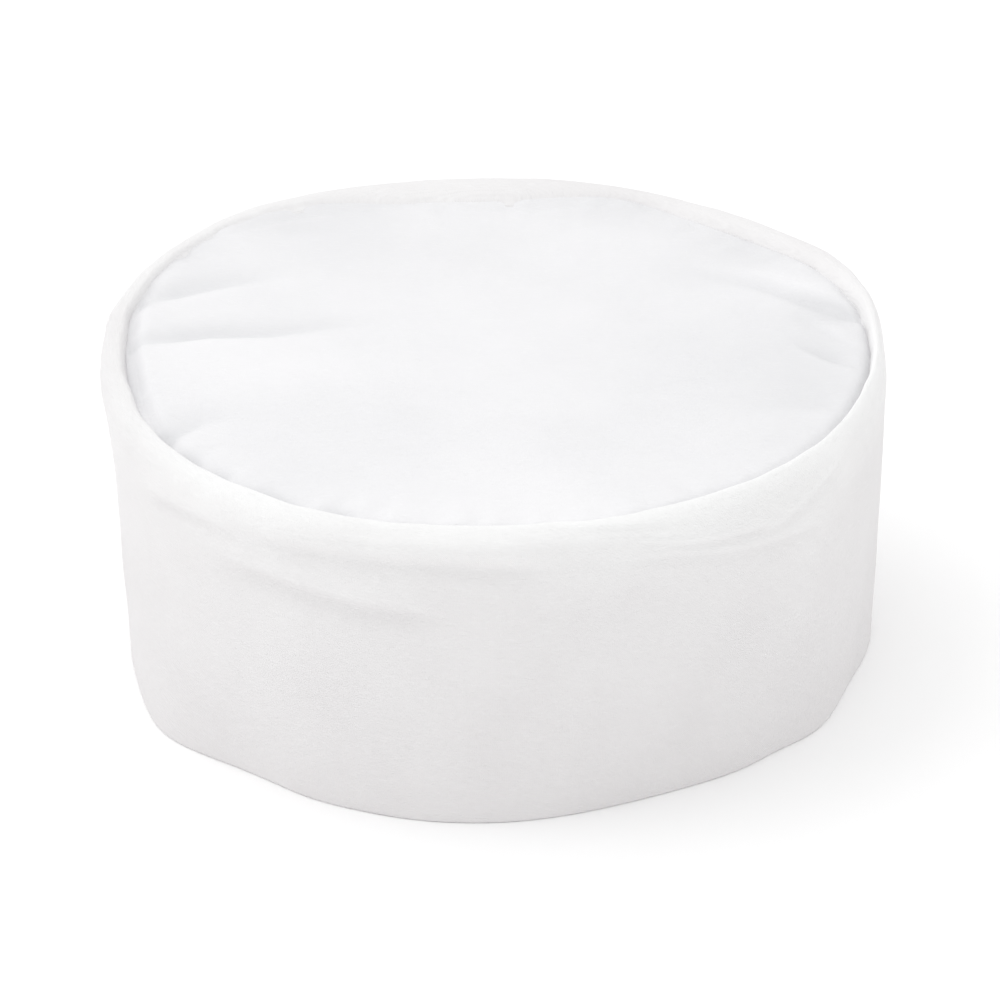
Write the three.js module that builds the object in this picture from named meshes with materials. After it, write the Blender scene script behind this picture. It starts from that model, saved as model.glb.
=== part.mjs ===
// A cook's skull cap: a tall upright band of doubled cotton twill, and a flat round crown of thin cotton
// set in just below the band's soft rolled top edge. The cap stands on its hem, open side down.
// Millimetres, +Z up, +X to the wearer's left as the cap faces -Y, origin under the middle of the hem.
import * as THREE from "three";

// Driving dimensions.
const capWidth = 196; // outside, left to right, where the band is widest
const capDepth = 189; // outside, front to back
const capHeight = 85; // hem to the crest of the rolled edge
const wall = 1.8; // two layers of twill with a little air between them
const crownCloth = 1.0; // the crown's single layer, at the least thickness that a solid of cloth takes
const rollRadius = 2.3; // the band's cloth turning over the seam
const shoulder = 7.0; // how far below the crest the outside of the roll starts
const ditchDepth = 7.0; // crest down to the seam between band and crown
const seamAllowance = 10; // cloth turned down inside the band below that seam
const allowanceBulk = 2.2; // how far the turned-down layers stand in from the wall
const ledge = 1.7; // the seam's own thickness, under the edge of the crown
const gap = 0.4; // between the crown and the band, which are sewn together on the real cap
const hemEdge = 0.5; // rounding of the fold at the hem

// Mesh fineness.
const stepsAround = 72;
const stepsOverRoll = 8;
const crownRings = [0, 0.22, 0.42, 0.6, 0.74, 0.85, 0.92, 0.97, 1];

// How far the wall stands in from the widest outline, on each side of the cap, at a few heights.
const wallSections = [
  { height: 0, right: 1.3, back: 3.6, left: 4.3, front: 2.9 },
  { height: 14, right: 1.2, back: 3.0, left: 3.9, front: 2.5 },
  { height: 34, right: 0.9, back: 2.0, left: 3.2, front: 1.9 },
  { height: 54, right: 0.6, back: 1.0, left: 2.3, front: 1.0 },
  { height: 68, right: 0.2, back: 0.3, left: 0.7, front: 0.2 },
  { height: 77, right: 0.0, back: 0.0, left: 0.0, front: 0.0 },
  { height: 85, right: 0.0, back: -0.4, left: -0.2, front: 0.2 },
];

// Soft dents and bulges of the wall: the middle, how far each reaches, and how deep it goes in.
// Azimuths are in degrees, from +X towards +Y.
const wallDents = [
  { azimuth: -18, height: 0, reachAround: 12, reachUp: 26, depth: 3.8 }, // hem pulled in on either side of
  { azimuth: -62, height: 0, reachAround: 20, reachUp: 34, depth: 3.9 }, // a soft corner right of the front
  { azimuth: -98, height: 0, reachAround: 18, reachUp: 26, depth: -1.2 },
  { azimuth: -149, height: 0, reachAround: 12, reachUp: 24, depth: -3.4 }, // hem standing out on the left
  { azimuth: -126, height: 0, reachAround: 14, reachUp: 28, depth: 1.7 },
  { azimuth: 150, height: 85, reachAround: 32, reachUp: 26, depth: -2.6 }, // top edge standing out behind
  { azimuth: 24, height: 85, reachAround: 13, reachUp: 24, depth: -2.0 },
  { azimuth: 100, height: 30, reachAround: 30, reachUp: 24, depth: 1.2 },
];

// Creases that run along the band: their two ends, their width across and their depth.
const bandCreases = [
  { start: 212, startHeight: 69, end: 236, endHeight: 70, width: 5, depth: 0.7 },
  { start: 234, startHeight: 72, end: 284, endHeight: 72, width: 4, depth: 1.1 },
  { start: 228, startHeight: 62, end: 264, endHeight: 58, width: 5, depth: 1.0 },
  { start: 292, startHeight: 69, end: 322, endHeight: 67, width: 5, depth: 0.7 },
  { start: 336, startHeight: 70, end: 402, endHeight: 71, width: 5, depth: 0.6 },
  { start: 66, startHeight: 70, end: 130, endHeight: 71, width: 5, depth: 0.7 },
  { start: 146, startHeight: 69, end: 198, endHeight: 70, width: 5, depth: 0.6 },
];

// Rises and falls of the rolled edge along its length.
const crestWaves = [
  { azimuth: 204, reach: 36, rise: -3.6 }, // pressed down, left of the front
  { azimuth: 262, reach: 26, rise: -1.6 },
  { azimuth: 62, reach: 16, rise: 0.2 },
  { azimuth: 112, reach: 20, rise: -0.4 },
];

// Drag folds of the crown, from a point near the seam to a point further in.
const crownFolds = [
  { fromX: -87, fromY: 5, toX: -36, toY: 15, width: 5.0, depth: 1.1 },
  { fromX: -84, fromY: 27, toX: -35, toY: 46, width: 6.0, depth: 0.9 },
  { fromX: -80, fromY: -38, toX: -55, toY: -24, width: 5.0, depth: 0.9 },
  { fromX: -60, fromY: 62, toX: -32, toY: 68, width: 6.0, depth: 0.7 },
  { fromX: 87, fromY: 15, toX: 56, toY: 42, width: 4.5, depth: 1.2 },
  { fromX: 86, fromY: 2, toX: 70, toY: 16, width: 3.5, depth: 0.7 },
  { fromX: 82, fromY: -16, toX: 64, toY: -28, width: 6.0, depth: 0.6 },
];
const crownPuff = 3.6; // how far the crown swells above its own seam
const puffReach = 5; // how far in from the seam it swells
const crownRise = 0.8; // how far its middle stands above the swelling

const clothColours = {
  band: { color: 0xefeeec, roughness: 0.92, metalness: 0 },
  crown: { color: 0xeef0f6, roughness: 0.86, metalness: 0 },
};

const seamHeight = capHeight - ditchDepth;
const ledgeTop = seamHeight - crownCloth - gap;
const widest = new THREE.Vector2(capWidth / 2, capDepth / 2);
const nominalRadius = widest.x; // the lathe's radius, before the cap takes its oval form
const bell = (distance, reach) => Math.exp(-((distance / reach) ** 2));
const turn = (degrees) => ((((degrees + 180) % 360) + 360) % 360) - 180; // to -180..180

// A smooth curve through a table's column, by height.
function sectionAt(height, side) {
  const last = wallSections.length - 1;
  const z = THREE.MathUtils.clamp(height, wallSections[0].height, wallSections[last].height);
  const upper = Math.max(1, wallSections.findIndex((section) => section.height >= z));
  const [low, high] = [wallSections[upper - 1], wallSections[upper]];
  const share = THREE.MathUtils.smoothstep(z, low.height, high.height);
  const straight = (z - low.height) / (high.height - low.height);
  return THREE.MathUtils.lerp(low[side], high[side], (share + straight) / 2);
}

// 0 at a crease's ends and 1 along its middle half.
function alongCrease(share) {
  return THREE.MathUtils.smoothstep(Math.min(share, 1 - share), 0, 0.25);
}

function creaseDepth(azimuth, height) {
  let depth = 0;
  for (const crease of bandCreases) {
    const span = crease.end - crease.start;
    const middle = (crease.start + crease.end) / 2;
    const share = turn(azimuth - middle) / span + 0.5;
    if (share <= 0 || share >= 1) continue;
    const across = height - THREE.MathUtils.lerp(crease.startHeight, crease.endHeight, share);
    depth += crease.depth * alongCrease(share) * bell(across, crease.width);
  }
  return depth;
}

// The outside of the wall at an azimuth in degrees and a height.
function wallPoint(azimuth, height) {
  const a = THREE.MathUtils.degToRad(azimuth);
  const halfWidth = widest.x - sectionAt(height, Math.cos(a) > 0 ? "right" : "left");
  const halfDepth = widest.y - sectionAt(height, Math.sin(a) > 0 ? "back" : "front");
  let inwards = creaseDepth(azimuth, height);
  for (const dent of wallDents) {
    const round = bell(turn(azimuth - dent.azimuth), dent.reachAround);
    inwards += dent.depth * round * bell(height - dent.height, dent.reachUp);
  }
  return new THREE.Vector2((halfWidth - inwards) * Math.cos(a), (halfDepth - inwards) * Math.sin(a));
}

// How far the rises and falls of the rolled edge lift what lies at a height: all the way at the crest, and
// not at all below the seam allowance.
function liftAt(azimuth, height) {
  let rise = 0;
  for (const wave of crestWaves) rise += wave.rise * bell(turn(azimuth - wave.azimuth), wave.reach);
  return rise * THREE.MathUtils.smoothstep(height, seamHeight - seamAllowance, capHeight);
}

// Moves each vertex of a geometry made round the Z axis to where the worn cloth lies.
function warp(geometry, place) {
  const position = geometry.getAttribute("position");
  const point = new THREE.Vector3();
  for (let i = 0; i < position.count; i++) {
    point.fromBufferAttribute(position, i);
    const azimuth = THREE.MathUtils.radToDeg(Math.atan2(point.y, point.x));
    position.setXYZ(i, ...place(Math.hypot(point.x, point.y), azimuth, point.z));
  }
  geometry.computeVertexNormals();
  return geometry;
}

// A lathe round +Z. The profile's points are (radius, height).
function turned(profile) {
  return new THREE.LatheGeometry(profile, stepsAround).rotateX(Math.PI / 2);
}

// The band's section as (inset from the outside of the wall, height), from the hem up the outside, over the
// roll, down to the seam and back down the inside.
function bandSection() {
  const outsideHeights = [hemEdge, 7, 16, 26, 36, 46, 54, 59, 63, 67, 71, 75];
  const insideHeights = [58, 46, 33, 20, 8, hemEdge];
  const section = [new THREE.Vector2(hemEdge, 0)];
  for (const height of outsideHeights) section.push(new THREE.Vector2(0, height));
  for (let i = 0; i <= stepsOverRoll; i++) {
    const angle = (Math.PI * i) / stepsOverRoll;
    const drop = angle < Math.PI / 2 ? shoulder : rollRadius;
    const inset = rollRadius * (1 - Math.cos(angle));
    section.push(new THREE.Vector2(inset, capHeight - drop * (1 - Math.sin(angle))));
  }
  const allowanceInset = wall + allowanceBulk;
  section.push(
    new THREE.Vector2(2 * rollRadius, ledgeTop),
    new THREE.Vector2(2 * rollRadius + ledge, ledgeTop),
    new THREE.Vector2(allowanceInset + 0.6, ledgeTop - 2),
    new THREE.Vector2(allowanceInset, seamHeight - seamAllowance + 1),
    new THREE.Vector2(wall, seamHeight - seamAllowance - 1),
  );
  for (const height of insideHeights) section.push(new THREE.Vector2(wall, height));
  section.push(new THREE.Vector2(wall - hemEdge, 0), new THREE.Vector2(hemEdge, 0));
  return section;
}

function bandGeometry() {
  const section = bandSection().map((p) => new THREE.Vector2(nominalRadius - p.x, p.y));
  return warp(turned(section), (radius, azimuth, height) => {
    const inset = nominalRadius - radius;
    const outside = wallPoint(azimuth, height);
    const place = outside.setLength(outside.length() - inset);
    return [place.x, place.y, height + liftAt(azimuth, height)];
  });
}

// How deep the crown's drag folds go at a point.
function foldDepth(x, y) {
  let depth = 0;
  for (const fold of crownFolds) {
    const line = new THREE.Line3(
      new THREE.Vector3(fold.fromX, fold.fromY, 0),
      new THREE.Vector3(fold.toX, fold.toY, 0),
    );
    const point = new THREE.Vector3(x, y, 0);
    const share = line.closestPointToPointParameter(point, true);
    const away = line.closestPointToPoint(point, true, new THREE.Vector3()).distanceTo(point);
    depth += fold.depth * (1 - share) ** 0.7 * bell(away, fold.width);
  }
  return depth;
}

function crownGeometry() {
  const edgeInset = 2 * rollRadius + gap;
  const edge = nominalRadius - edgeInset;
  const underside = crownRings.map((share) => new THREE.Vector2(share * edge, seamHeight - crownCloth));
  const top = [...underside].reverse().map((p) => new THREE.Vector2(p.x, seamHeight));
  return warp(turned([...underside, ...top]), (radius, azimuth, height) => {
    const seam = wallPoint(azimuth, seamHeight);
    const place = seam.setLength(((seam.length() - edgeInset) * radius) / edge);
    const fromEdge = edge - radius;
    const swell = crownPuff * (1 - bell(fromEdge, puffReach));
    const rise = crownRise * bell(radius, edge / 2);
    const folds = foldDepth(place.x, place.y) * THREE.MathUtils.smoothstep(fromEdge, 0, puffReach);
    const lift = liftAt(azimuth, ledgeTop) * THREE.MathUtils.smoothstep(radius, edge / 2, edge);
    return [place.x, place.y, height + swell + rise - folds + lift];
  });
}

function cloth(name, geometry, finish) {
  const mesh = new THREE.Mesh(geometry, new THREE.MeshStandardMaterial(finish));
  mesh.name = name;
  return mesh;
}

const skullCap = new THREE.Group();
skullCap.add(cloth("band", bandGeometry(), clothColours.band));
skullCap.add(cloth("crown", crownGeometry(), clothColours.crown));

// The origin lies under the middle of the cap's own box.
const middle = new THREE.Box3().setFromObject(skullCap).getCenter(new THREE.Vector3());
for (const piece of skullCap.children) piece.position.set(-middle.x, -middle.y, 0);

export default skullCap;
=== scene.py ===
# A cook's skull cap of white cotton: a tall doubled band with a soft rolled top edge, and a thin flat crown
# set in just below that edge. It stands on its hem, open side down.
import math
import bpy
import numpy as np
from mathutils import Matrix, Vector
from mathutils.bvhtree import BVHTree


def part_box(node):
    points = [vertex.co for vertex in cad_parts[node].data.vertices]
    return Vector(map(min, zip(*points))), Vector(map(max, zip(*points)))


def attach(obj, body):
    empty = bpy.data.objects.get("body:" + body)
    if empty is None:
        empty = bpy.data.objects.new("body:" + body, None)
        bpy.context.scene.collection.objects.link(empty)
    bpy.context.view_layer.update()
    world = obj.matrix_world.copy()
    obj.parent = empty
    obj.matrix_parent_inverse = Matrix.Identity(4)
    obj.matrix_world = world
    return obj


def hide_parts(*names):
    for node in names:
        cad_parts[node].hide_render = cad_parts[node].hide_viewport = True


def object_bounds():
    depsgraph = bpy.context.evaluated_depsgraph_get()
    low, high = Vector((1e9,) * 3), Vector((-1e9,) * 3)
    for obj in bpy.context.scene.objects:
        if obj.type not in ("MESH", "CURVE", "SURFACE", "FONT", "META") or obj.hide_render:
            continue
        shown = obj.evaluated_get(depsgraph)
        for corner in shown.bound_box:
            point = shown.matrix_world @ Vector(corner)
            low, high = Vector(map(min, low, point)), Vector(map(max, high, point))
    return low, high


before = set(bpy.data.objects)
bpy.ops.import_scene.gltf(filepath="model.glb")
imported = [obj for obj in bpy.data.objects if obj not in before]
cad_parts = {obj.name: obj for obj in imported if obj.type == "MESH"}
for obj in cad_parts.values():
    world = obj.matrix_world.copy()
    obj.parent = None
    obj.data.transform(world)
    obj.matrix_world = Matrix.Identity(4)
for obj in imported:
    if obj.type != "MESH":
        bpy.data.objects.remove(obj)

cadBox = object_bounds()
mm = 0.001
capTop = cadBox[1].z
bandLow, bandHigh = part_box("band")
halfWidth = (bandHigh.x - bandLow.x) / 2
scene = bpy.context.scene


def smooth(x, low, high):
    # 0 up to low, 1 from high on, and a soft step between
    t = np.clip((x - low) / (high - low), 0, 1)
    return t * t * (3 - 2 * t)


def bell(x, reach):
    # 1 at x = 0, and gone at about twice the reach
    return np.exp(-(x / reach) ** 2)


def turn(angle):
    return (angle + 180) % 360 - 180  # degrees, to -180..180


def waves(angle, other, reachAround, reachOther, seed, count=28):
    # seeded random swells with an rms of 1, which meet themselves round the cap; other is a second length
    dice = np.random.default_rng(seed)
    total = 0
    for _ in range(count):
        around = round(dice.normal() * halfWidth / reachAround)
        along = dice.normal() / reachOther
        total = total + np.cos(around * angle + along * other + dice.uniform(0, 2 * math.pi))
    return total / math.sqrt(count / 2)


def meshObject(name, points, faces):
    mesh = bpy.data.meshes.new(name)
    mesh.from_pydata(points.tolist(), [], faces.tolist())
    mesh.validate()
    mesh.polygons.foreach_set("use_smooth", np.ones(len(mesh.polygons), bool))
    made = bpy.data.objects.new(name, mesh)
    scene.collection.objects.link(made)
    return made


def ringObject(name, points):
    # points[column, row]: the columns meet round the cap, and the rows meet round the cloth's section
    columns, rows = points.shape[:2]
    column, row = np.arange(columns)[:, None], np.arange(rows)[None, :]
    nextColumn, nextRow = (column + 1) % columns, (row + 1) % rows
    near, far = column * rows, nextColumn * rows
    corners = [near + row, far + row, far + nextRow, near + nextRow]
    faces = np.stack(np.broadcast_arrays(*corners), axis=-1).reshape(-1, 4)
    return meshObject(name, points.reshape(-1, 3), faces)


studio = {
    "elevation": 28.9,        # degrees above the floor
    "distance": 1.5,          # m
    "lens": 213.7,
    "shift": (0.0058, -0.0130),
    "lookAt": 42.5 * mm,      # above the floor
    "floorColour": (0.96, 0.96, 0.96),
    "floorRoughness": 0.9,
    "floorHalf": 8,           # m
    "roomLight": 1.04,
    "softboxes": [            # watts and metres
        {"power": 6.0, "place": (-0.94, 0.34, 1.73), "size": 1.4},
        {"power": 3.0, "place": (-1.72, -0.2, 1.0), "size": 1.4},
        {"power": 0.75, "place": (1.7, 0.5, 0.5), "size": 1.0},
    ],
}


def makeStudio():
    camera = bpy.data.objects.new("camera", bpy.data.cameras.new("camera"))
    lift = math.radians(studio["elevation"])
    back = Vector((0, -math.cos(lift), math.sin(lift)))
    camera.location = Vector((0, 0, studio["lookAt"])) + back * studio["distance"]
    camera.rotation_euler = (-back).to_track_quat("-Z", "Y").to_euler()
    camera.data.lens = studio["lens"]
    camera.data.shift_x, camera.data.shift_y = studio["shift"]
    scene.collection.objects.link(camera)
    scene.camera = camera

    edge = np.array([(-1, -1, 0), (1, -1, 0), (1, 1, 0), (-1, 1, 0)]) * studio["floorHalf"]
    floor = meshObject("floor", edge, np.array([[0, 1, 2, 3]]))
    paint = bpy.data.materials.new("floor paint")
    paint.use_nodes = True
    shader = paint.node_tree.nodes["Principled BSDF"]
    shader.inputs["Base Color"].default_value = (*studio["floorColour"], 1)
    shader.inputs["Roughness"].default_value = studio["floorRoughness"]
    floor.data.materials.append(paint)

    world = bpy.data.worlds.new("room")
    world.use_nodes = True
    sky = world.node_tree.nodes["Background"]
    sky.inputs["Color"].default_value = (1, 1, 1, 1)
    sky.inputs["Strength"].default_value = studio["roomLight"]
    scene.world = world

    for softbox in studio["softboxes"]:
        lamp = bpy.data.objects.new("softbox", bpy.data.lights.new("softbox", "AREA"))
        lamp.data.energy = softbox["power"]
        lamp.data.size = softbox["size"]
        lamp.location = softbox["place"]
        lamp.rotation_euler = Vector(softbox["place"]).to_track_quat("Z", "Y").to_euler()
        scene.collection.objects.link(lamp)
    scene.view_settings.view_transform = "Standard"
    print("camera, floor and light are set")


makeStudio()

outline = {
    "columns": 640,
    "rows": 60,
    "softenAround": 2.6,     # degrees; takes the flat facets of the frame's band out
    "softenUp": 5.0,         # rows
    "lowest": 0.7 * mm,
    "highest": 75 * mm,      # the wall is read up to here, and the rolled edge is added above
    "crestInset": 2.3 * mm,  # from the wall at that height in to where the crest is read
    "crestFall": 0.55,       # how far the crest drops in front for each mm that it moves in
    "softenRim": 4,          # degrees, for the table of the rolled edge
}
angles = np.arange(outline["columns"]) * 2 * math.pi / outline["columns"] - math.pi
degrees = np.degrees(angles)
wallHeights = np.linspace(outline["lowest"], outline["highest"], outline["rows"])


def softenRound(values, reach):
    # a Gaussian over the columns, which wrap round
    reachColumns = reach / 360 * outline["columns"]
    pull = np.exp(-2 * (math.pi * reachColumns * np.fft.rfftfreq(outline["columns"])) ** 2)
    return np.fft.irfft(np.fft.rfft(values, axis=0) * pull.reshape(-1, *[1] * (values.ndim - 1)), axis=0)


def softenAlong(values, reach):
    # the same up each column, whose ends are carried on beyond the edges
    steps = np.arange(-3 * math.ceil(reach), 3 * math.ceil(reach) + 1)
    weights = bell(steps, reach * math.sqrt(2))
    padded = np.pad(values, [(0, 0), (len(steps) // 2, len(steps) // 2)], mode="reflect", reflect_type="odd")
    rows = [np.convolve(row, weights / weights.sum(), mode="valid") for row in padded]
    return np.array(rows)


def readOutline():
    depsgraph = bpy.context.evaluated_depsgraph_get()
    tree = BVHTree.FromObject(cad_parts["band"], depsgraph)
    radii = np.zeros((len(angles), len(wallHeights)))
    crest = np.zeros(len(angles))
    far = 2 * halfWidth
    for i, a in enumerate(angles):
        out = Vector((math.cos(a), math.sin(a), 0))
        for j, height in enumerate(wallHeights):
            hit = tree.ray_cast(out * far + Vector((0, 0, height)), -out)[0]
            radii[i, j] = math.hypot(hit.x, hit.y)
        above = out * (radii[i, -1] - outline["crestInset"]) + Vector((0, 0, far))
        crest[i] = tree.ray_cast(above, Vector((0, 0, -1)))[0].z
    radii = softenAlong(softenRound(radii, outline["softenAround"]), outline["softenUp"])
    return radii, softenRound(crest, outline["softenAround"])


# Where the cloth stands out from the frame's wall, or in from it: the middle, in degrees and mm above the
# hem, how far that reaches, and out mm.
wallChanges = [
    {"at": (320, 0), "reach": (7, 22), "out": -1.9},
    {"at": (347, 28), "reach": (9, 22), "out": -0.9},
    {"at": (241, 0), "reach": (8, 16), "out": 1.2},
    {"at": (212, 0), "reach": (7, 16), "out": 0.8},
    {"at": (188, 32), "reach": (10, 18), "out": 0.6},
    {"at": (163, 75), "reach": (14, 18), "out": 0.9},
    {"at": (14, 75), "reach": (14, 14), "out": 0.8},
]

wallRadii, crestHeights = readOutline()
for change in wallChanges:
    (middle, height), (reachAround, reachUp) = change["at"], change["reach"]
    beside = bell(turn(degrees - middle), reachAround)[:, None]
    wallRadii += change["out"] * mm * beside * bell(wallHeights / mm - height, reachUp)
print("outline read from the frame")


def wallAt(heights):
    # the wall's radius at heights[column, row]
    return np.array([np.interp(heights[i], wallHeights, wallRadii[i]) for i in range(len(angles))])


# The rolled edge and the crown beside it, at places round the cap: at is in degrees, and the rest in mm. Each
# row starts with the right side and the back, and its second line holds the left side and the front. out and
# tall are the roll's outer quarter; drop is how far the crest sags; lean is how far the shoulder below it
# slopes in, over leanTall; inner is from the crest in to the seam with the crown, and sunk is from the crest
# down to that seam. The crown lies flat beside the seam for flat mm, and then swells by puff over puffReach.
# Two rows are plain numbers: square, a power that keeps the inner side level for longer before it falls to
# the seam, and the row after it, painted light and shade: how much lighter or darker the edge's cloth is
# drawn.
rimShape = {
    "at": (0, 14, 28, 44, 58, 70, 82, 96, 110, 121, 134, 150,
           166, 178, 190, 206, 222, 238, 252, 270, 290, 304, 318, 338),
    "out": (1.8, 1.8, 1.6, 1.5, 1.5, 1.5, 1.6, 1.6, 1.6, 1.6, 1.7, 2.1,
            2.8, 3.0, 3.2, 3.8, 4.8, 5.0, 4.6, 4.6, 5.4, 5.4, 5.0, 3.2),
    "tall": (4.2, 3.8, 3.6, 3.6, 3.6, 3.6, 3.6, 3.6, 3.6, 3.6, 3.6, 3.6,
             3.6, 3.6, 4.2, 5.6, 6.4, 5.6, 4.2, 3.8, 6.6, 8.8, 11.0, 8.5),
    "drop": (1.2, -0.2, -0.6, 1.3, 1.5, 0.8, 0.1, 0.2, -0.4, -0.9, -1.8, -0.6,
             0.1, 0.4, 0.9, 1.9, 2.5, 2.3, 1.5, 1.0, 1.4, 2.2, 2.9, 2.8),
    "lean": (0.8, 0.7, 0.6, 0.5, 0.5, 0.5, 0.5, 0.5, 0.5, 0.5, 0.5, 0.6,
             0.8, 0.8, 0.8, 0.9, 1.1, 1.6, 2.4, 2.4, 2.4, 1.8, 1.4, 1.2),
    "leanTall": (9, 9, 9, 8, 8, 8, 8, 8, 8, 8, 8, 8,
                 9, 9, 9, 10, 12, 13, 13, 13, 13, 14, 15, 12),
    "inner": (1.5, 3.0, 4.8, 5.0, 4.4, 2.2, 6.5, 8.0, 6.5, 2.6, 2.3, 2.0,
              2.4, 2.9, 3.1, 1.9, 1.7, 1.7, 1.7, 1.6, 1.6, 1.5, 1.3, 1.3),
    "sunk": (3.7, 3.1, 2.7, 2.9, 2.5, 1.6, 2.7, 3.2, 2.7, 1.4, 1.0, 1.4,
             2.7, 3.4, 3.7, 2.3, 1.1, 1.1, 1.5, 1.8, 2.0, 2.4, 2.4, 2.6),
    "puff": (2.1, 1.6, 0.8, 0.5, 0.5, 1.4, 0.3, 0.2, 0.3, 0.8, 0.4, 0.8,
             2.2, 3.2, 3.1, 1.5, 0.5, 0.5, 1.0, 1.1, 1.1, 1.4, 1.4, 1.6),
    "puffReach": (1.4, 1.4, 2.6, 3.0, 3.0, 2.4, 3.0, 3.4, 3.0, 2.4, 2.6, 2.4,
                  2.2, 2.0, 1.8, 2.2, 2.0, 1.8, 1.8, 1.6, 1.6, 1.6, 1.6, 1.6),
    "square": (2.5, 2.5, 2.5, 2.5, 2.5, 2.5, 2.5, 2.5, 2.5, 2.5, 3.0, 4.5,
               4.5, 3.0, 2.5, 2.5, 2.5, 2.5, 2.5, 2.5, 2.5, 2.5, 2.5, 2.5),
    # painted light and shade on the rolled edge, lighter or darker by the angle round
    "edgeShading": (0.5, 0.3, -0.2, -0.1, 0, -0.4, -0.1, 0, 0.1, 0.2, 0.3, 0.4,
             0, -0.25, -0.4, -0.2, 0.3, 0, -0.15, 0, 0.35, 0.5, 0.5, 0.45),
    "flat": (0.4, 0.6, 0.2, 0, 0, 0, 0, 0, 0, 0.3, 1.0, 1.3,
             1.0, 1.5, 2.2, 0.9, 0.2, 0, 0, 0, 0, 0, 0, 0.2),
}


def rim(column, unit=mm):
    # a row of the table above as a smooth closed curve over the outline's columns
    values = np.interp(degrees, rimShape["at"], rimShape[column], period=360)
    return softenRound(values, outline["softenRim"]) * unit


# A wider edge at the front keeps its line: the crest drops as it moves in.
frontness = np.clip(-np.sin(angles), 0, 1)
movedIn = rim("out") + rim("lean") - outline["crestInset"]
crestLine = crestHeights - rim("drop") - outline["crestFall"] * frontness * movedIn
seamLine = crestLine - rim("sunk")
edgeInset = rim("out") + rim("lean") + rim("inner")  # the seam, in from the outside of the wall

endless = 1e9  # a reach so long that nothing changes along it

bandForm = {
    "wall": 1.8 * mm,
    "hemRound": 0.7 * mm,
    "ledge": 1.9 * mm,            # from the seam in to the turned-down cloth
    "ledgeSteps": ((0.35, 0.7), (0.8, 1.1), (1.0, 1.7)),  # a share of the ledge, and mm below the seam
    "allowance": 10 * mm,         # cloth turned down inside, below the seam
    "allowanceBulk": 2.0 * mm,
    "allowanceEdge": 0.6 * mm,    # its raw edge, back to the wall
    "rows": {"hem": 5, "wall": 66, "over": 15, "down": 16, "hang": 8, "inside": 26, "back": 4},
    "closerRows": 0.18,           # rows of the wall drawn up towards the top, where the folds are
    "leanEase": 0.35,             # the share of the shoulder over which it starts to slope in
    # swells: how deep, how far they reach round the band and up it, and a seed
    "uneven": (0.07, 22 * mm, endless, 3),         # of the roll's width, along the edge
    "swell": (0.35 * mm, 34 * mm, 30 * mm, 5),     # slow unevenness of the standing cloth
    "backSwell": (0.7 * mm, 20 * mm, 45 * mm, 9),  # looser at the back, below the edge
    "rumple": (0.06 * mm, 9 * mm, 5 * mm, 6),
    "pucker": (0.14 * mm, 3.2 * mm, 30 * mm, 7),   # gathering along the top seam
    "backFrom": (0.1, 0.6),       # the sine of the angle round the cap where the back starts, and is full
    "backBelow": (5 * mm, 25 * mm),  # and how far under the crest
    "puckerAt": (4 * mm, 9 * mm),    # how far down from the top the gathers are deepest, and their reach
    "backSeam": 0.4 * mm,         # the valley where the band's ends are joined, at the middle of the back
    "backSeamReach": 2.4 * mm,
    "backSeamUneven": (0.5, endless, 4 * mm, 8),  # of its depth, up the seam only
    "backSeamBelow": (1 * mm, 9 * mm),  # how far under the crest it starts, and is full
    "foldEnds": 0.22,             # the share of a fold's length over which each end dies away
    "foldUnder": 0.9,             # how far the cloth turns in under a fold, for each mm that it hangs over
    "foldUnderReach": 0.68,       # of the fold's turnIn
    # painted light and shade, from -1, the darkest colour of the cloth, to 1, the lightest
    "foldShading": (0.1, -0.16),    # painted light on a fold 1 mm deep, and painted shade under it
    "lipHighlight": 0.45,              # a painted highlight: the crest's narrow bright line, at the front
    "lipTall": 2.2 * mm,
    "lipFront": (-0.3, 0.5),      # minus the sine of the angle round the cap where it starts, and is full
    "shoulderHighlight": 0.38,           # a painted highlight on the cloth below it, at the front
    "shoulderHighlightTall": 11 * mm,
    "shoulderHighlightFront": (-0.2, 0.8),
    # how far down from the crest the painted light and shade of the edge reach
    "edgeShadingTall": 10 * mm,
    "hemShade": -0.78,             # painted shade: the standing cloth darkens down to the hem
}

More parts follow.
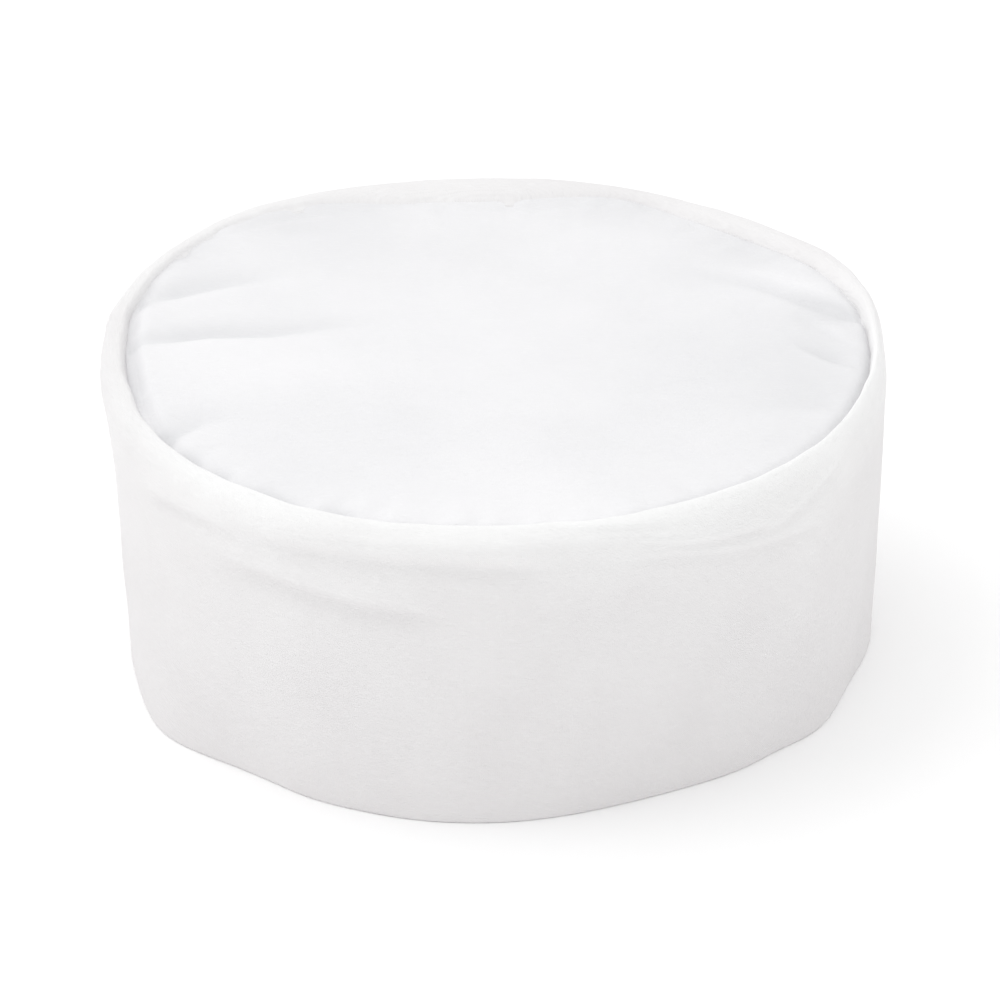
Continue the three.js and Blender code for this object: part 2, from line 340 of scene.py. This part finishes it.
# Soft folds along the band. Each runs through places in degrees round from +X and mm above the hem. The
# cloth above it hangs over by its depth, over reach mm, and turns in under within turnIn mm.
bandFolds = [
    {"path": ((226, 68.2), (240, 69.1), (250, 69.8), (262, 70.5), (282, 70.1)),
     "depth": 1.2, "reach": 4.2, "turnIn": 5.2},
    {"path": ((222, 57.4), (231, 59.0), (243, 58.0), (251, 56.9), (265, 57.6)),
     "depth": 1.4, "reach": 5, "turnIn": 4.6},
    {"path": ((206, 63.6), (215, 66.4), (223, 67.8), (232, 68.0)), "depth": 0.9, "reach": 4, "turnIn": 3.0},
    {"path": ((242, 76.6), (251, 77.7), (262, 79.2), (278, 79.2), (292, 77.8), (306, 76.4)),
     "depth": 0.6, "reach": 3.0, "turnIn": 1.4},
    {"path": ((288, 75.6), (299, 72.3), (306, 70.7), (316, 69.6)), "depth": 0.6, "reach": 4, "turnIn": 2.2},
    {"path": ((289, 71.2), (301, 68.5), (308, 65.7), (318, 63.8), (331, 60.6)),
     "depth": 0.5, "reach": 5, "turnIn": 2.6},
    {"path": ((14, 65.0), (26, 68.5), (39, 70.2), (54, 69.0)), "depth": 0.9, "reach": 5, "turnIn": 4.0},
    {"path": ((47, 57.0), (58, 60.0), (70, 60.5), (84, 58.0)), "depth": 0.8, "reach": 6, "turnIn": 4.5},
    {"path": ((98, 64.5), (109, 68.0), (123, 69.5), (138, 67.5)), "depth": 1.0, "reach": 5, "turnIn": 4.2},
    {"path": ((120, 54.5), (130, 58.0), (142, 58.5), (154, 55.5)), "depth": 0.9, "reach": 6, "turnIn": 4.6},
    {"path": ((312, 68.0), (320, 70.5), (327, 73.8), (334, 77.0)), "depth": 0.45, "reach": 4, "turnIn": 2.4},
]


def swellAt(swell, angle, other):
    deep, reachAround, reachOther, seed = swell
    return deep * waves(angle, other, reachAround, reachOther, seed)


def bandFoldsAt(height):
    # how far the folds push the cloth out, at height[column, row], and their painted light and shade
    overTone, underTone = bandForm["foldShading"]
    total, paintedShading = 0, 0
    for fold in bandFolds:
        at, heights = np.array(fold["path"]).T
        middle = (at[0] + at[-1]) / 2
        place = turn(degrees - middle)[:, None] + middle
        line = np.interp(place, at, heights)
        share = (place - at[0]) / (at[-1] - at[0])
        along = smooth(np.minimum(share, 1 - share), 0, bandForm["foldEnds"])
        above = height / mm - line
        over = smooth(above, 0, fold["turnIn"]) * bell(np.maximum(above - fold["turnIn"], 0), fold["reach"])
        under = bandForm["foldUnder"] * bell(above, fold["turnIn"] * bandForm["foldUnderReach"])
        total = total + fold["depth"] * mm * along * (over - under)
        paintedShading = paintedShading + fold["depth"] * along * (overTone * over + underTone * under)
    return total, paintedShading


def bandSection():
    # (inset from the wall, height) for every column: up the outside, over the roll, down to the seam, under
    # the edge of the crown, down the turned-in cloth and the inside, and round the fold at the hem
    form, rows = bandForm, bandForm["rows"]
    a = angles[:, None]
    uneven = 1 + swellAt(form["uneven"], a, a)
    out, tall = rim("out")[:, None] * uneven, rim("tall")[:, None]
    lean, inner = rim("lean")[:, None], rim("inner")[:, None] + rim("out")[:, None] * (1 - uneven)
    crest, seam = crestLine[:, None], seamLine[:, None]
    deep = form["wall"] + form["allowanceBulk"]
    parts = []

    hemTurn = np.linspace(math.pi / 2, 0, rows["hem"])[None, :-1]
    parts.append((form["hemRound"] * (1 - np.cos(hemTurn)), form["hemRound"] * (1 - np.sin(hemTurn))))
    rise = np.linspace(0, 1, rows["wall"])[None, :]
    rise = rise + form["closerRows"] * np.sin(math.pi * rise)
    parts.append((0, form["hemRound"] + rise * (crest - tall - form["hemRound"])))
    over = np.linspace(0, math.pi / 2, rows["over"])[None, 1:]
    parts.append((out * (1 - np.cos(over)), crest - tall * (1 - np.sin(over))))
    outerRows = sum(np.broadcast_arrays(*part)[0].shape[1] for part in parts)
    down = np.sin(np.linspace(0, math.pi / 2, rows["down"])[None, 1:])
    parts.append((out + lean + inner * down, crest - (crest - seam) * down ** rim("square", 1)[:, None]))
    ledgeShares, ledgeDrops = np.array(form["ledgeSteps"]).T
    under = edgeInset[:, None] + form["ledge"] * ledgeShares[None, :]
    parts.append((under, seam - ledgeDrops[None, :] * mm))
    hang = np.linspace(0, 1, rows["hang"])[None, 1:]
    hung = under[:, -1:] + (deep - under[:, -1:]) * np.sqrt(hang)
    dropped = ledgeDrops[-1] * mm
    parts.append((hung, seam - dropped - hang * (form["allowance"] - dropped)))
    inside = np.linspace(1, 0, rows["inside"])[None, :]
    insideTop = seam - form["allowance"] - form["allowanceEdge"]
    parts.append((form["wall"], form["hemRound"] + inside * (insideTop - form["hemRound"])))
    backTurn = np.linspace(0, math.pi / 2, rows["back"])[None, 1:-1]
    back = form["wall"] - form["hemRound"] * (1 - np.cos(backTurn))
    parts.append((back, form["hemRound"] * (1 - np.sin(backTurn))))

    column = np.zeros((len(angles), 1))
    parts = [np.broadcast_arrays(*part, column) for part in parts]
    inset, height = (np.concatenate([part[k] for part in parts], axis=1) for k in (0, 1))
    shoulder = np.clip(1 - (crest - height[:, :outerRows]) / rim("leanTall")[:, None], 0, 1)
    inset[:, :outerRows] += lean * shoulder * smooth(shoulder, 0, form["leanEase"])
    return inset, height


def makeBand():
    form = bandForm
    inset, height = bandSection()
    a = angles[:, None]
    below = crestLine[:, None] - height
    radius = wallAt(np.clip(height, wallHeights[0], wallHeights[-1])) - inset
    radius += swellAt(form["swell"], a, height)
    looser = smooth(np.sin(a), *form["backFrom"]) * smooth(below, *form["backBelow"])
    radius += looser * swellAt(form["backSwell"], a, height)
    radius += swellAt(form["rumple"], a, height)
    puckerDown, puckerReach = form["puckerAt"]
    nearSeam = bell(height - capTop + puckerDown, puckerReach)
    radius += nearSeam * swellAt(form["pucker"], a, height)
    folded, foldTone = bandFoldsAt(height)
    radius += folded
    fromBack = np.radians(turn(degrees - 90))[:, None] * halfWidth
    drawn = (1 + swellAt(form["backSeamUneven"], 0, height)) * smooth(below, *form["backSeamBelow"])
    radius -= form["backSeam"] * bell(fromBack, form["backSeamReach"]) * drawn
    points = np.stack([radius * np.cos(a), radius * np.sin(a), height], axis=-1)
    made = ringObject("band_cloth", points)
    # painted light and shade: highlights on the crest and shoulder at the front, lighter or darker edges
    # round the cap, and shade down to the hem and along the folds
    paintedShading = form["lipHighlight"] * smooth(-np.sin(a), *form["lipFront"]) * bell(below, form["lipTall"])
    shoulderLit = smooth(-np.sin(a), *form["shoulderHighlightFront"]) * bell(below, form["shoulderHighlightTall"])
    paintedShading = paintedShading + form["shoulderHighlight"] * shoulderLit
    paintedShading = paintedShading + rim("edgeShading", 1)[:, None] * bell(below, form["edgeShadingTall"])
    paintedShading = paintedShading + form["hemShade"] * below / crestLine[:, None] + foldTone
    made.data.attributes.new("paintedShading", "FLOAT", "POINT").data.foreach_set("value", paintedShading.reshape(-1))
    return made


band = makeBand()
print("band made,", len(band.data.polygons), "faces")

crownForm = {
    "steps": (124, 372),          # left to right, and front to back, across most of its folds
    "closerRings": 0.55,          # from 0, even, to 1: rings of the grid drawn out towards the edge
    "thickness": 0.6 * mm,
    "turnedDown": 2.5 * mm,       # the crown's own edge, caught in the seam
    "tuck": 0.5 * mm,             # the seam draws it this far under the roll
    "below": 1.2 * mm,            # its middle, under the crest's mean height
    "levelTo": 0.4,               # the share of the way out where it starts to rise or fall to its edge
    "free": 5 * mm,               # from the edge in to where folds and swells are full
    "swell": 0.35 * mm,
    "swellReach": (16 * mm, 24 * mm),  # left to right, and front to back
    "swellSeeds": (11, 12),
    "pucker": (0.30 * mm, 3.0 * mm, endless, 13),  # gathers across the seam, given as the band's swells
    "puckerFrom": 2 * mm,         # from the edge in to where they are full
    "puckerReach": 9 * mm,
    "foldFade": 0.8,              # the share of a fold's length over which its inner end dies away
    "foldRise": 0.2,              # the share over which its end at the seam comes up to full
    "foldAtSeam": 0.4,            # of the fold's full depth, right at the seam
    "foldShading": (0.175, -0.5),   # painted light on the puff and painted shade in the fold, for each mm deep
    "dipReach": 3.0 * mm,         # from the edge in, where the crown is caught down
    "dipFrom": 1 * mm,
    # painted shade in the dips beside the seam
    "dipShade": -1.6,
    "shadingPatches": [                  # painted shade and painted light on places of the crown, in mm
        {"at": (76, -9), "reach": (32, 32), "paintedShading": -0.6},
        {"at": (62, 58), "reach": (22, 22), "paintedShading": -0.5},
        {"at": (84, 19), "reach": (9, 9), "paintedShading": -0.8},
        {"at": (30, 80), "reach": (15, 11), "paintedShading": -0.5},
        {"at": (-43, 72), "reach": (18, 18), "paintedShading": -0.5},
        {"at": (-80, 50), "reach": (9, 9), "paintedShading": -0.5},
        {"at": (-42, -50), "reach": (22, 22), "paintedShading": -0.25},
        {"at": (-60, -8), "reach": (24, 14), "paintedShading": 0.35},
        {"at": (2, -76), "reach": (40, 20), "paintedShading": 0.4},
        {"at": (-91, -12), "reach": (3.5, 12), "paintedShading": -0.8},
    ],
}

# Drag folds from the seam inwards, each through points (x, y) in mm. The cloth falls into a fold by deep mm
# from back mm behind it, and climbs out within front mm to a puff before it, which fades over reach mm.
# Where deep and puff are negative it is the other way up: a ridge that drops away in front.
crownFolds = [
    {"path": ((-91, 4), (-72, 9), (-56, 9), (-34, 16), (-20, 18)),
     "deep": 1.9, "back": 4.5, "front": 3.4, "puff": 0.6, "reach": 12},
    {"path": ((-88, 25), (-73, 33), (-60, 39), (-44, 44)),
     "deep": 1.8, "back": 5.5, "front": 3.4, "puff": 0.6, "reach": 9},
    {"path": ((-86, -43), (-79, -38), (-71, -32), (-56, -31)),
     "deep": 1.4, "back": 6, "front": 2.8, "puff": 0.5, "reach": 7},
    {"path": ((-58, 62), (-46, 66), (-30, 66)), "deep": 0.5, "back": 6, "front": 4, "puff": 0.2, "reach": 8},
    {"path": ((95, 17), (82, 28), (70, 38.5), (56, 47), (42, 53)),
     "deep": -1.2, "back": 5, "front": 3.0, "puff": 0, "reach": 3},
    {"path": ((95, 12), (82, 21.5), (70, 31.5), (58, 39), (44, 46)),
     "deep": 1.3, "back": 2.2, "front": 2.0, "puff": -0.7, "reach": 9},
    {"path": ((90, 1), (82, 12), (76, 20)), "deep": -0.7, "back": 3, "front": 1.5, "puff": -0.2, "reach": 4},
    {"path": ((87, -9), (79, -1), (71, 8)), "deep": 1.1, "back": 3.5, "front": 1.5, "puff": 0.3, "reach": 4},
    {"path": ((86, -26), (70, -28), (56, -22)), "deep": 0.8, "back": 9, "front": 5, "puff": 0.2, "reach": 9},
]

# Places beside the seam where the crown is caught down: at and span in degrees, depth in mm.
crownDips = [
    {"at": 206, "span": 2.4, "depth": 1.8},
    {"at": 214, "span": 3.0, "depth": 1.8},
    {"at": 221, "span": 2.2, "depth": 1.6},
    {"at": 232, "span": 4.6, "depth": 2.2},
    {"at": 244.5, "span": 2.2, "depth": 1.6},
]


def crownFoldsAt(x, y):
    # the folds' height, and the painted light on their puffs and painted shade in them
    form = crownForm
    puffTone, foldTone = form["foldShading"]
    total, paintedShading = 0, 0
    for fold in crownFolds:
        path = np.array(fold["path"]) * mm
        lengths = np.hypot(*(path[1:] - path[:-1]).T)
        away, side, share = np.full(x.shape, np.inf), np.zeros(x.shape), np.zeros(x.shape)
        for k, (start, end) in enumerate(zip(path[:-1], path[1:])):
            run = (end - start) / lengths[k]
            dx, dy = x - start[0], y - start[1]
            along = np.clip(dx * run[0] + dy * run[1], 0, lengths[k])
            gone = np.hypot(dx - along * run[0], dy - along * run[1])
            nearer = gone < away
            away = np.where(nearer, gone, away)
            side = np.where(nearer, (dy * run[0] - dx * run[1]) * np.sign(run[0]), side)
            share = np.where(nearer, (lengths[:k].sum() + along) / lengths.sum(), share)
        fallen = bell(away, np.where(side > 0, fold["back"], fold["front"]) * mm)
        puffed = np.where(side > 0, 0, (1 - fallen) * bell(away, fold["reach"] * mm))
        risen = form["foldAtSeam"] + (1 - form["foldAtSeam"]) * smooth(share, 0, form["foldRise"])
        strength = smooth(1 - share, 0, form["foldFade"]) * risen
        total = total + mm * strength * (fold["puff"] * puffed - fold["deep"] * fallen)
        paintedShading = paintedShading + strength * fold["deep"] * (puffTone * puffed + foldTone * fallen)
    return total, paintedShading


def makeCrown():
    form = crownForm
    u, v = np.meshgrid(*[np.linspace(-1, 1, steps + 1) for steps in form["steps"]], indexing="ij")
    u = (u + np.sin(u * math.pi / 2)) / 2  # closer columns at the left and right, where the folds are
    x, y = u * np.sqrt(1 - v * v / 2), v * np.sqrt(1 - u * u / 2)  # a square grid drawn out to a round one
    share, a = np.hypot(x, y), np.arctan2(y, x)
    share = share + form["closerRings"] * (np.sin(share * math.pi / 2) - share)

    def there(values):
        return np.interp(a, angles, values, period=2 * math.pi)

    atSeam = wallAt(np.minimum(seamLine, wallHeights[-1])[:, None])[:, 0] - edgeInset + form["tuck"]
    edge, seam = there(atSeam), there(seamLine)
    flat, puff, puffReach = there(rim("flat")), there(rim("puff")), there(rim("puffReach"))
    along = share * (edge + form["turnedDown"])
    radius = np.minimum(along, edge)
    x, y = radius * np.cos(a), radius * np.sin(a)
    fromEdge = edge - along
    inside = np.maximum(fromEdge, 0)
    middle = crestLine.mean() - form["below"]
    outer = smooth(share, form["levelTo"], 1)
    swelling = bell(np.maximum(inside - flat, 0), puffReach)
    z = (seam + puff) * outer + middle * (1 - outer) - puff * swelling - np.maximum(-fromEdge, 0)
    free = smooth(fromEdge, 0, form["free"])
    folded, paintedShading = crownFoldsAt(x, y)
    z += folded * free
    (reachX, reachY), (seedX, seedY) = form["swellReach"], form["swellSeeds"]
    swells = waves(0, x, endless, reachX, seedX) * waves(0, y, endless, reachY, seedY)
    z += form["swell"] * free * swells
    gathered = smooth(fromEdge, 0, form["puckerFrom"]) * bell(fromEdge, form["puckerReach"])
    z += gathered * swellAt(form["pucker"], a, a)
    for dip in crownDips:
        beside = bell(turn(np.degrees(a) - dip["at"]), dip["span"])
        caught = beside * bell(inside, form["dipReach"]) * smooth(fromEdge, 0, form["dipFrom"])
        z -= dip["depth"] * mm * caught
        # painted shade in the dip
        paintedShading = paintedShading + form["dipShade"] * caught
    points = np.stack([x, y, z], axis=-1).reshape(-1, 3)
    across, deep = form["steps"]
    row = deep + 1  # points in each
    corner = (np.arange(across)[:, None] * row + np.arange(deep)[None, :]).reshape(-1)
    faces = np.stack([corner, corner + row, corner + row + 1, corner + 1], axis=-1)
    made = meshObject("crown_cloth", points, faces)
    # painted shade and painted light on places of the crown
    for patch in form["shadingPatches"]:
        (middleX, middleY), (reachX, reachY) = patch["at"], patch["reach"]
        paintedShading = paintedShading + patch["paintedShading"] * bell(x / mm - middleX, reachX) * bell(y / mm - middleY, reachY)
    made.data.attributes.new("paintedShading", "FLOAT", "POINT").data.foreach_set("value", paintedShading.reshape(-1))
    thick = made.modifiers.new("thickness", "SOLIDIFY")
    thick.thickness = form["thickness"]
    thick.offset = -1
    return made


crown = makeCrown()
print("crown made,", len(crown.data.polygons), "faces")


def addNode(tree, kind, inputs, **settings):
    # inputs by number or name, each a value or another node's socket
    node = tree.nodes.new("ShaderNode" + kind)
    for name, value in settings.items():
        setattr(node, name, value)
    for name, value in inputs.items():
        if isinstance(value, bpy.types.NodeSocket):
            tree.links.new(value, node.inputs[name])
        else:
            node.inputs[name].default_value = value
    return node


def calc(tree, operation, a, b=0.0):
    return addNode(tree, "Math", {0: a, 1: b}, operation=operation).outputs[0]


def addUp(tree, start, *shares):
    # start, and each value times its share
    total = start
    for value, share in shares:
        total = calc(tree, "ADD", total, calc(tree, "MULTIPLY", value, share))
    return total


def between(tree, value, ends, **settings):
    # 0 at the first end, and 1 at the second
    reading = {"Value": value, "From Min": ends[0], "From Max": ends[1]}
    return addNode(tree, "MapRange", reading, **settings).outputs[0]


def patchy(tree, around, up, size, seed, detail=1.0):
    # soft noise, 0 to 1, whose patches are size[0] mm long and size[1] mm tall
    long, tall = (calc(tree, "DIVIDE", way, reach) for way, reach in zip((around, up), size))
    place = addNode(tree, "CombineXYZ", {0: long, 1: tall, 2: seed}).outputs[0]
    return addNode(tree, "TexNoise", {"Vector": place, "Scale": 1.0, "Detail": detail}).outputs[0]


bandCloth = {
    "lightest": (0.878, 0.879, 0.878),
    "middle": (0.783, 0.773, 0.776),
    "darkest": (0.725, 0.709, 0.713),
    "middleAt": 0.40,          # where the middle colour lies, from the darkest to the lightest
    "thread": 0.46,            # mm from thread to thread
    "threadDepth": 0.05,       # mm
    "slub": (3.0, 0.5),        # mm, long and tall: sparse thick places in the yarns that run round the band
    "slubDepth": 0.035,
    "fluffDepth": 0.03,
    "cloud": 22,               # mm, between paler and greyer places
    "sheen": 0.03,
}
crownCloth = {
    "lightest": (0.872, 0.867, 0.877),
    "middle": (0.794, 0.792, 0.804),
    "darkest": (0.712, 0.713, 0.726),
    "middleAt": 0.5,
    "thread": 0.34,
    "threadDepth": 0.03,
    "slub": (2.4, 0.4),
    "slubDepth": 0.03,
    "fluffDepth": 0.02,
    "cloud": 24,
    "sheen": 0.03,
}
bothCloths = {
    "baseShade": 0.295,        # from 0, the darkest colour, to 1, the lightest
    "slubShade": 0.09,         # this and the next two are added to it
    "cloudShade": 0.4,
    # the share of the painted light and shade from the mesh
    "toneShade": 0.5,
    "crossings": 0.5,          # how high the crossings of the threads stand, against the ribs
    "slubFrom": (0.55, 0.72),  # how far up the noise a slub starts, and is full
    "fluff": (0.16, 0.16),     # mm
    "roughness": 0.95,
    "slubRoughness": 0.84,
    "gloss": 0.3,
    "sheenRoughness": 0.5,
}
backSeam = {
    "groove": (0.1, 0.5),      # mm from its middle: where it is deepest, and where it ends
    "depth": 0.10,
    "lostFrom": (68.0, 76.0),  # mm above the hem, where its line is lost in the soft edge
}


def wovenCloth(name, cloth, wrapped):
    paint = bpy.data.materials.new(name)
    paint.use_nodes = True
    tree = paint.node_tree
    shader = tree.nodes["Principled BSDF"]
    place = addNode(tree, "TexCoord", {}).outputs["Object"]
    split = addNode(tree, "SeparateXYZ", {0: place}).outputs
    x, y, z = (calc(tree, "DIVIDE", axis, mm) for axis in split)
    around, up = x, y
    if wrapped:
        # round the band and up it, so that the weave breaks at the seam in the middle of the back
        angle = calc(tree, "ARCTAN2", x, calc(tree, "MULTIPLY", y, -1.0))
        around = calc(tree, "MULTIPLY", angle, halfWidth / mm)
        flatPlace = addNode(tree, "CombineXYZ", {0: x, 1: y}).outputs[0]
        radius = addNode(tree, "VectorMath", {0: flatPlace}, operation="LENGTH").outputs["Value"]
        up = calc(tree, "SUBTRACT", z, radius)  # so that it goes on climbing over the rolled edge
        fromSeam = calc(tree, "SUBTRACT", math.pi * halfWidth / mm, calc(tree, "ABSOLUTE", around))
        joined = between(tree, fromSeam, backSeam["groove"], interpolation_type="SMOOTHSTEP")
        joined = calc(tree, "MAXIMUM", joined, between(tree, z, backSeam["lostFrom"]))

    turns = 2 * math.pi / cloth["thread"]
    warp = calc(tree, "SINE", calc(tree, "MULTIPLY", around, turns))
    weft = calc(tree, "SINE", calc(tree, "MULTIPLY", up, turns))
    ribs = calc(tree, "ABSOLUTE", calc(tree, "SINE", calc(tree, "MULTIPLY", up, turns / 2)))
    crossed = calc(tree, "MULTIPLY", warp, weft)
    slubs = between(tree, patchy(tree, around, up, cloth["slub"], seed=3.7), bothCloths["slubFrom"],
                    interpolation_type="SMOOTHSTEP")
    cloudPlace = addNode(tree, "CombineXYZ", {0: x, 1: y, 2: z}).outputs[0]
    cloudInputs = {"Vector": cloudPlace, "Scale": 1 / cloth["cloud"], "Detail": 3.0}
    clouds = addNode(tree, "TexNoise", cloudInputs).outputs[0]
    fluff = patchy(tree, around, up, bothCloths["fluff"], seed=5.3, detail=2.0)
    paintedShading = addNode(tree, "Attribute", {}, attribute_name="paintedShading").outputs["Fac"]

    height = addUp(tree, ribs, (crossed, bothCloths["crossings"]))
    height = calc(tree, "MULTIPLY", height, cloth["threadDepth"])
    height = addUp(tree, height, (slubs, cloth["slubDepth"]), (fluff, cloth["fluffDepth"]))
    if wrapped:
        height = addUp(tree, height, (joined, backSeam["depth"]))
    # where the colour ramp is read: slubs and clouds are the cloth's own uneven colour, and the mesh
    # attribute adds painted light and shade
    shade = addUp(tree, bothCloths["baseShade"], (slubs, bothCloths["slubShade"]),
                  (clouds, bothCloths["cloudShade"]), (paintedShading, bothCloths["toneShade"]))
    bump = addNode(tree, "Bump", {"Height": height, "Distance": mm, "Strength": 1.0}).outputs[0]
    tree.links.new(bump, shader.inputs["Normal"])

    ramp = addNode(tree, "ValToRGB", {0: shade})
    stops = ramp.color_ramp.elements
    stops.new(cloth["middleAt"])
    for stop, colour in zip(stops, ("darkest", "middle", "lightest")):
        stop.color = (*cloth[colour], 1)
    tree.links.new(ramp.outputs[0], shader.inputs["Base Color"])
    roughEnds = {"To Min": bothCloths["roughness"], "To Max": bothCloths["slubRoughness"]}
    rough = addNode(tree, "MapRange", {"Value": slubs, **roughEnds}).outputs[0]
    tree.links.new(rough, shader.inputs["Roughness"])
    shader.inputs["Specular IOR Level"].default_value = bothCloths["gloss"]
    shader.inputs["Sheen Weight"].default_value = cloth["sheen"]
    shader.inputs["Sheen Roughness"].default_value = bothCloths["sheenRoughness"]
    return paint


band.data.materials.append(wovenCloth("band twill", bandCloth, wrapped=True))
crown.data.materials.append(wovenCloth("crown cotton", crownCloth, wrapped=False))
print("cloth made")

for piece, slot in ((band, "band_cloth"), (crown, "crown_cloth")):
    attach(piece, "root")
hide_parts("band")
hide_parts("crown")

print("cap finished")
